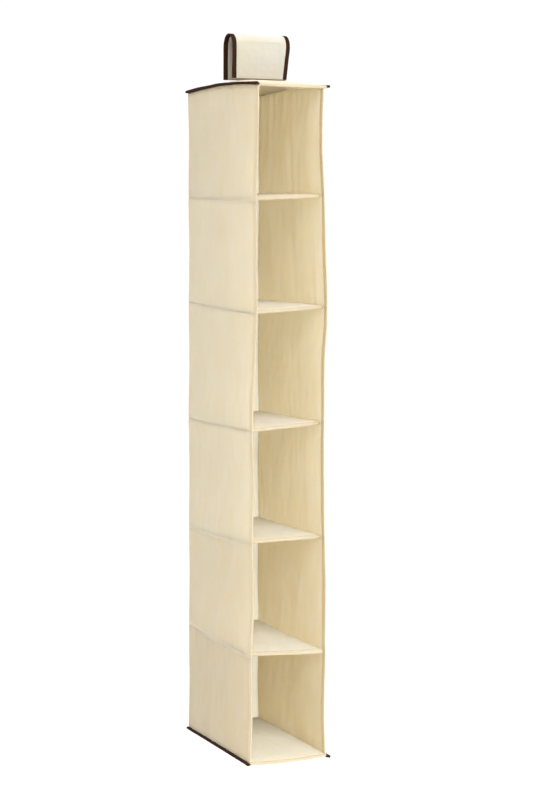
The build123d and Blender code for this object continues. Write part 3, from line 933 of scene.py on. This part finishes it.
PATH = strap_path()
RUN = np.concatenate([[0], np.cumsum(np.linalg.norm(np.diff(PATH[:, :2], axis=0), axis=1))])
front = (PATH[:, 0] < 0) & (PATH[:, 1] <= 0)
# the flap lies a little askew: its edges lean to the left on the way down
EDGE_L = np.where(front, -61.8 + 0.6 * (PATH[:, 1] / 68.0), -62.8)
TAPE_L = np.where(front, 8.8, 9.4)
EDGE_R = np.where(front, 64.6 + 8.6 * (PATH[:, 1] / 68.0), 63.4)
back_leg = (PATH[:, 0] > 0) & (PATH[:, 1] <= 0)
EDGE_L = np.where(back_leg, -63.6, EDGE_L)
EDGE_L, EDGE_R, TAPE_L = (np.convolve(np.pad(e, 4, mode="edge"), np.ones(9) / 9, mode="valid") for e in (EDGE_L, EDGE_R, TAPE_L))


def strap_offset(X, i):
    """how far the cloth stands off its path at each point"""
    run = RUN[i]
    o = 0.30 * field(X, np.full_like(X, run), 40, 77) + 0.12 * field(X, np.full_like(X, run), 14, 78)
    crown = math.exp(-((PATH[i, 0]) / 22) ** 2) if PATH[i, 1] > 0 else 0
    fr = 1.0 if (PATH[i, 0] < 0 and PATH[i, 1] < 0) else 0.0
    return o * (0.3 + 0.7 * fr) * (1 - 0.8 * crown)


def strap_body():
    w = np.linspace(0, 1, 49)
    P = np.zeros((len(PATH), len(w), 3))
    for i in range(len(PATH)):
        X = EDGE_L[i] + 1.5 + (EDGE_R[i] - EDGE_L[i] - 3.0) * w
        o = strap_offset(X, i)
        P[i, :, 0] = X
        P[i, :, 1] = PATH[i, 0] + PATH[i, 2] * o
        P[i, :, 2] = PATH[i, 1] + PATH[i, 3] * o
    b = Build()
    uv = np.stack([P[..., 0], np.broadcast_to(RUN[:, None], P.shape[:2])], 2)
    a, c, nn = shell(b, P, 2.1, uv)
    out = np.stack([np.zeros(len(PATH)), PATH[:, 2], PATH[:, 3]], 1)
    outer, no = (a, nn) if np.mean((nn * out[:, None]).sum(2)) > 0 else (c, -nn)
    # stitched rectangle on the flap, where the hook strip is sewn on behind
    rows_f = [i for i in range(len(PATH)) if PATH[i, 0] < 0 and -65 <= PATH[i, 1] <= 4]

    def col(x):
        return lambda i: int(np.argmin(np.abs(P[i, :, 0] - x)))
    for x in (-50.0, 42.0):
        line = np.array([outer[i, col(x)(i)] for i in rows_f])
        nrm = np.array([no[i, col(x)(i)] for i in rows_f])
        stitches(b, line, nrm, 1)
    for i in (rows_f[0], rows_f[-1]):
        j0, j1 = col(-50.0)(i), col(42.0)(i)
        stitches(b, outer[i, j0:j1 + 1], no[i, j0:j1 + 1], 1)
    # seam at the foot of the back leg
    stitches(b, outer[3, 2:-2], no[3, 2:-2], 1)
    ob = b.make("strap", [cream_pale, thread])
    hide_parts("strap_back", "strap_flap")
    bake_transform(ob)


def strap_tape(side):
    """brown tape folded round one edge of the strap"""
    sec_n = 22
    P = np.zeros((len(PATH), sec_n, 3))
    for i in range(len(PATH)):
        edge = EDGE_L[i] if side < 0 else EDGE_R[i]
        for q in range(sec_n):
            a = 2 * math.pi * q / sec_n
            c, s = math.cos(a), math.sin(a)
            wide = TAPE_L[i] if side < 0 else TAPE_W
            lx = wide / 2 * np.sign(c) * abs(c) ** 0.3
            lz = 1.72 * np.sign(s) * abs(s) ** 0.5
            lz *= 1 - 0.13 * math.exp(-((lx + wide * 0.28) / 0.9) ** 2)
            x = edge + side * (0.6 + lx - wide / 2 + 0.4)
            X = np.array([x])
            o = float(strap_offset(X, i)[0]) + lz
            P[i, q] = (x, PATH[i, 0] + PATH[i, 2] * o, PATH[i, 1] + PATH[i, 3] * o)
    n, m = P.shape[:2]
    b = Build()
    faces = []
    for i in range(n - 1):
        for j in range(m):
            j2 = (j + 1) % m
            q = (i * m + j, (i + 1) * m + j, (i + 1) * m + j2, i * m + j2)
            faces.append(q if side > 0 else q[::-1])
    faces.append(tuple(range(m)) if side > 0 else tuple(range(m))[::-1])
    e1 = tuple((n - 1) * m + j for j in range(m))
    faces.append(e1[::-1] if side > 0 else e1)
    uv = np.stack([np.broadcast_to(np.arange(m)[None, :] * 1.1, (n, m)), np.broadcast_to(RUN[:, None], (n, m))], 2)
    b.add(P.reshape(-1, 3), faces, 0, uv.reshape(-1, 2))
    nn = np.cross(np.roll(P, -1, 1) - np.roll(P, 1, 1), np.gradient(P, axis=0))
    nn /= np.maximum(np.linalg.norm(nn, axis=2, keepdims=True), 1e-9)
    cen = P.mean(axis=1, keepdims=True)
    if np.mean(((P - cen) * nn).sum(2)) < 0:
        nn = -nn
    for frac in (0.25, 0.75):
        j = None
        best = 1e9
        for q in range(m):
            a = 2 * math.pi * q / m
            s, c = math.sin(a), math.cos(a)
            lx = TAPE_W / 2 * np.sign(c) * abs(c) ** 0.3
            if (s > 0) == (frac < 0.5) and abs(lx + TAPE_W * 0.28) < best:
                best, j = abs(lx + TAPE_W * 0.28), q
        stitches(b, P[1:-1, j], nn[1:-1, j], 1, length=2.4, gap=1.0, width=0.5)
    ob = b.make(f"strap_tape_{'right' if side > 0 else 'left'}", [brown, thread_brown])
    word = "right" if side > 0 else "left"
    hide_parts(f"strap_back_edge_{word}", f"strap_flap_edge_{word}")
    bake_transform(ob)


strap_body()
strap_tape(-1)
strap_tape(1)


def slab(name, node, body, mat, seed, rough=0.0, grow=0.0, edge_round=True):
    """a sewn strip of cloth that stands upright, facing Y, with soft edges"""
    lo, hi = node_box(node)
    nx, nz = 90, 34
    xs = np.linspace(lo[0], hi[0], nx)
    zs = np.linspace(lo[2] + grow, hi[2], nz)
    X, Z = np.meshgrid(xs, zs, indexing="ij")
    y = (lo[1] + hi[1]) / 2
    d = np.minimum(np.minimum(X - lo[0], hi[0] - X), np.minimum(Z - lo[2] - grow, hi[2] - Z))
    full = (hi[1] - lo[1]) - 0.12
    t = full * np.sqrt(np.clip(1 - (1 - np.clip(d / 1.6 + 0.25, 0, 1)) ** 2, 0.1, 1))
    t = t * (1 - 0.25 * np.exp(-((d - 2.4) / 0.8) ** 2))
    rng = np.random.RandomState(seed)
    if rough:
        t = t - rough * rng.rand(*X.shape) * (d > 3)
    Y = np.full_like(X, y)
    b = Build()
    a, c, nn = shell(b, np.stack([X, Y, Z], 2), t, np.stack([X, Z], 2))
    ob = b.make(name, [mat, thread])
    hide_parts(node)
    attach(ob, body)


slab("tab", "strap_tab", "top", cream_pale, 5, grow=0.9)
slab("hook_pile", "hook_strip", "flap", nap, 6, rough=0.35)
slab("loop_pile", "loop_strip", "top", nap, 7, rough=0.30)

# ------------------------------------------------------------------ floor, light, camera
fl = Build()
g = 21
xs = np.linspace(-22000, 22000, g)
Xf, Yf = np.meshgrid(xs, xs, indexing="ij")
fl.add(np.stack([Xf, Yf, np.full_like(Xf, BASE_Z - 2000)], 2), grid_faces(g, g))
floor_mat = bpy.data.materials.new("pale_floor")
floor_mat.use_nodes = True
_p = floor_mat.node_tree.nodes["Principled BSDF"]
_p.inputs["Base Color"].default_value = (0.84, 0.84, 0.84, 1)
_p.inputs["Roughness"].default_value = 0.9
_p.inputs["Specular IOR Level"].default_value = 0.0
floor_ob = fl.make("studio_floor", [floor_mat])

scene = bpy.context.scene
scene.view_settings.view_transform = "Standard"
scene.view_settings.look = "None"
scene.view_settings.exposure = 0.0
world = bpy.data.worlds.new("studio")
scene.world = world
world.use_nodes = True
# a white backdrop behind the object, dimmer towards the front, where the key light is
_w = world.node_tree
_node = links(_w)
_sep = _node("ShaderNodeSeparateXYZ")
_w.links.new(_node("ShaderNodeTexCoord").outputs["Generated"], _sep.inputs[0])
_map = _node("ShaderNodeMapRange", inputs={"From Min": -0.85, "From Max": -0.25, "To Min": 0.35, "To Max": 1.04})
_w.links.new(_sep.outputs[1], _map.inputs["Value"])
_w.nodes["Background"].inputs[0].default_value = (1.0, 1.0, 1.0, 1)
_w.links.new(_map.outputs["Result"], _w.nodes["Background"].inputs[1])


sun = bpy.data.lights.new("soft_key", "SUN")
sun.energy = 2.15
sun.angle = math.radians(40)
sun.color = (1.0, 0.99, 0.97)
key = bpy.data.objects.new("soft_key", sun)
scene.collection.objects.link(key)
_az, _el = math.radians(-7), math.radians(36)
_z = np.array((math.sin(_az) * math.cos(_el), -math.cos(_az) * math.cos(_el), math.sin(_el)))
_x = np.cross((0, 0, 1), _z)
_x /= np.linalg.norm(_x)
_y = np.cross(_z, _x)
key.matrix_world = Matrix(((_x[0], _y[0], _z[0], 0), (_x[1], _y[1], _z[1], -2), (_x[2], _y[2], _z[2], 2), (0, 0, 0, 1)))

# a softbox near the top front gives the light its fall towards the floor
box = bpy.data.lights.new("soft_box", "AREA")
box.shape = "SQUARE"
box.size = 1.8
box.energy = 20
box.color = (1.0, 0.99, 0.97)
box_ob = bpy.data.objects.new("soft_box", box)
scene.collection.objects.link(box_ob)
_p0 = np.array((-0.55, -2.70, 1.15))
_z = _p0 - np.array((0, 0, -0.6))
_z /= np.linalg.norm(_z)
_x = np.cross((0, 0, 1), _z)
_x /= np.linalg.norm(_x)
_y = np.cross(_z, _x)
box_ob.matrix_world = Matrix(((_x[0], _y[0], _z[0], _p0[0]), (_x[1], _y[1], _z[1], _p0[1]), (_x[2], _y[2], _z[2], _p0[2]), (0, 0, 0, 1)))

# a low fill reaches up into the compartments
low = bpy.data.lights.new("soft_low", "AREA")
low.shape = "SQUARE"
low.size = 1.6
low.energy = 42
low.color = (1.0, 0.98, 0.94)
low_ob = bpy.data.objects.new("soft_low", low)
scene.collection.objects.link(low_ob)
_p1 = np.array((0.35, -3.10, -2.10))
_z = _p1 - np.array((0, 0, -0.35))
_z /= np.linalg.norm(_z)
_x = np.cross((0, 0, 1), _z)
_x /= np.linalg.norm(_x)
_y = np.cross(_z, _x)
low_ob.matrix_world = Matrix(((_x[0], _y[0], _z[0], _p1[0]), (_x[1], _y[1], _z[1], _p1[1]), (_x[2], _y[2], _z[2], _p1[2]), (0, 0, 0, 1)))

# a weaker, very soft light from the right comes through the cloth
side = bpy.data.lights.new("soft_side", "SUN")
side.energy = 0.25
side.angle = math.radians(60)
side_ob = bpy.data.objects.new("soft_side", side)
scene.collection.objects.link(side_ob)
side_ob.matrix_world = Matrix(((0, -0.2588, 0.9659, 3), (1, 0, 0, 0), (0, 0.9659, 0.2588, 1), (0, 0, 0, 1)))

# camera at the front left, a little above the middle of the object, looking slightly down
F_PX, YAW, PITCHED, ROLL = 1937.87, math.radians(26.495), math.radians(5.662), math.radians(0.155)
cam_at = np.array((-1.7392, -3.5397, -0.3250))
fw = np.array((math.sin(YAW) * math.cos(PITCHED), math.cos(YAW) * math.cos(PITCHED), -math.sin(PITCHED)))
rt0 = np.array((math.cos(YAW), -math.sin(YAW), 0.0))
up0 = np.cross(rt0, fw)
rt = rt0 * math.cos(ROLL) + up0 * math.sin(ROLL)
up = -rt0 * math.sin(ROLL) + up0 * math.cos(ROLL)
cd = bpy.data.cameras.new("camera")
cd.sensor_width = 36.0
cd.lens = F_PX * 36.0 / 800.0
cd.dof.use_dof = False
cd.clip_start, cd.clip_end = 0.05, 60
cam = bpy.data.objects.new("camera", cd)
scene.collection.objects.link(cam)
cam.matrix_world = Matrix((
    (rt[0], up[0], -fw[0], cam_at[0]),
    (rt[1], up[1], -fw[1], cam_at[1]),
    (rt[2], up[2], -fw[2], cam_at[2]),
    (0, 0, 0, 1)))
scene.camera = cam
bpy.context.view_layer.update()
